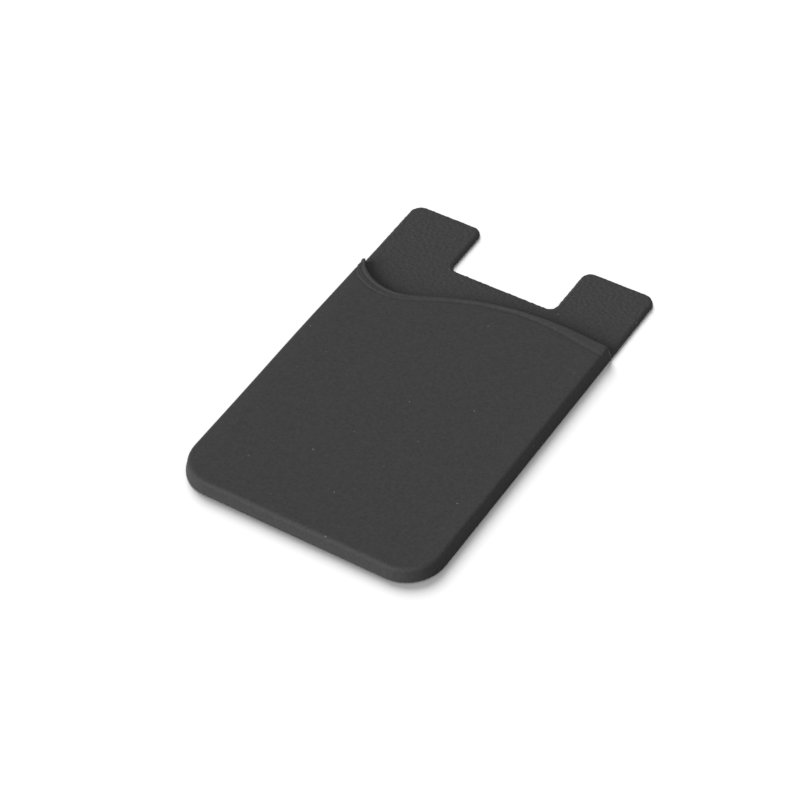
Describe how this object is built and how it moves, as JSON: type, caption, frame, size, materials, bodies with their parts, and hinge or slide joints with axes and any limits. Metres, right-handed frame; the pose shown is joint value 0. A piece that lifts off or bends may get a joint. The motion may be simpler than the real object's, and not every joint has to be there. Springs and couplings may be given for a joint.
{
  "type": "stick-on phone card holder",
  "caption": "Flat silicone pocket for bank cards with an S-shaped mouth and tabs beside a finger notch, with an adhesive back under a liner.",
  "frame": {"origin": "under the middle of the holder, on the surface that its liner lies on", "axes": "+X across the holder, +Y from the closed end to the tabs, +Z out of the front panel"},
  "size_m": [0.057, 0.087, 0.0033],
  "materials": {
    "silicone": "matt dark grey silicone, smooth on the front panel and leather-grained on the back sheet",
    "adhesive": "translucent white double-sided acrylic adhesive",
    "liner": "smooth siliconised white release paper"
  },
  "bodies": {
    "root": {"silicone_pocket": "silicone", "adhesive_pad": "adhesive", "release_liner": "liner"}
  },
  "joints": []
}
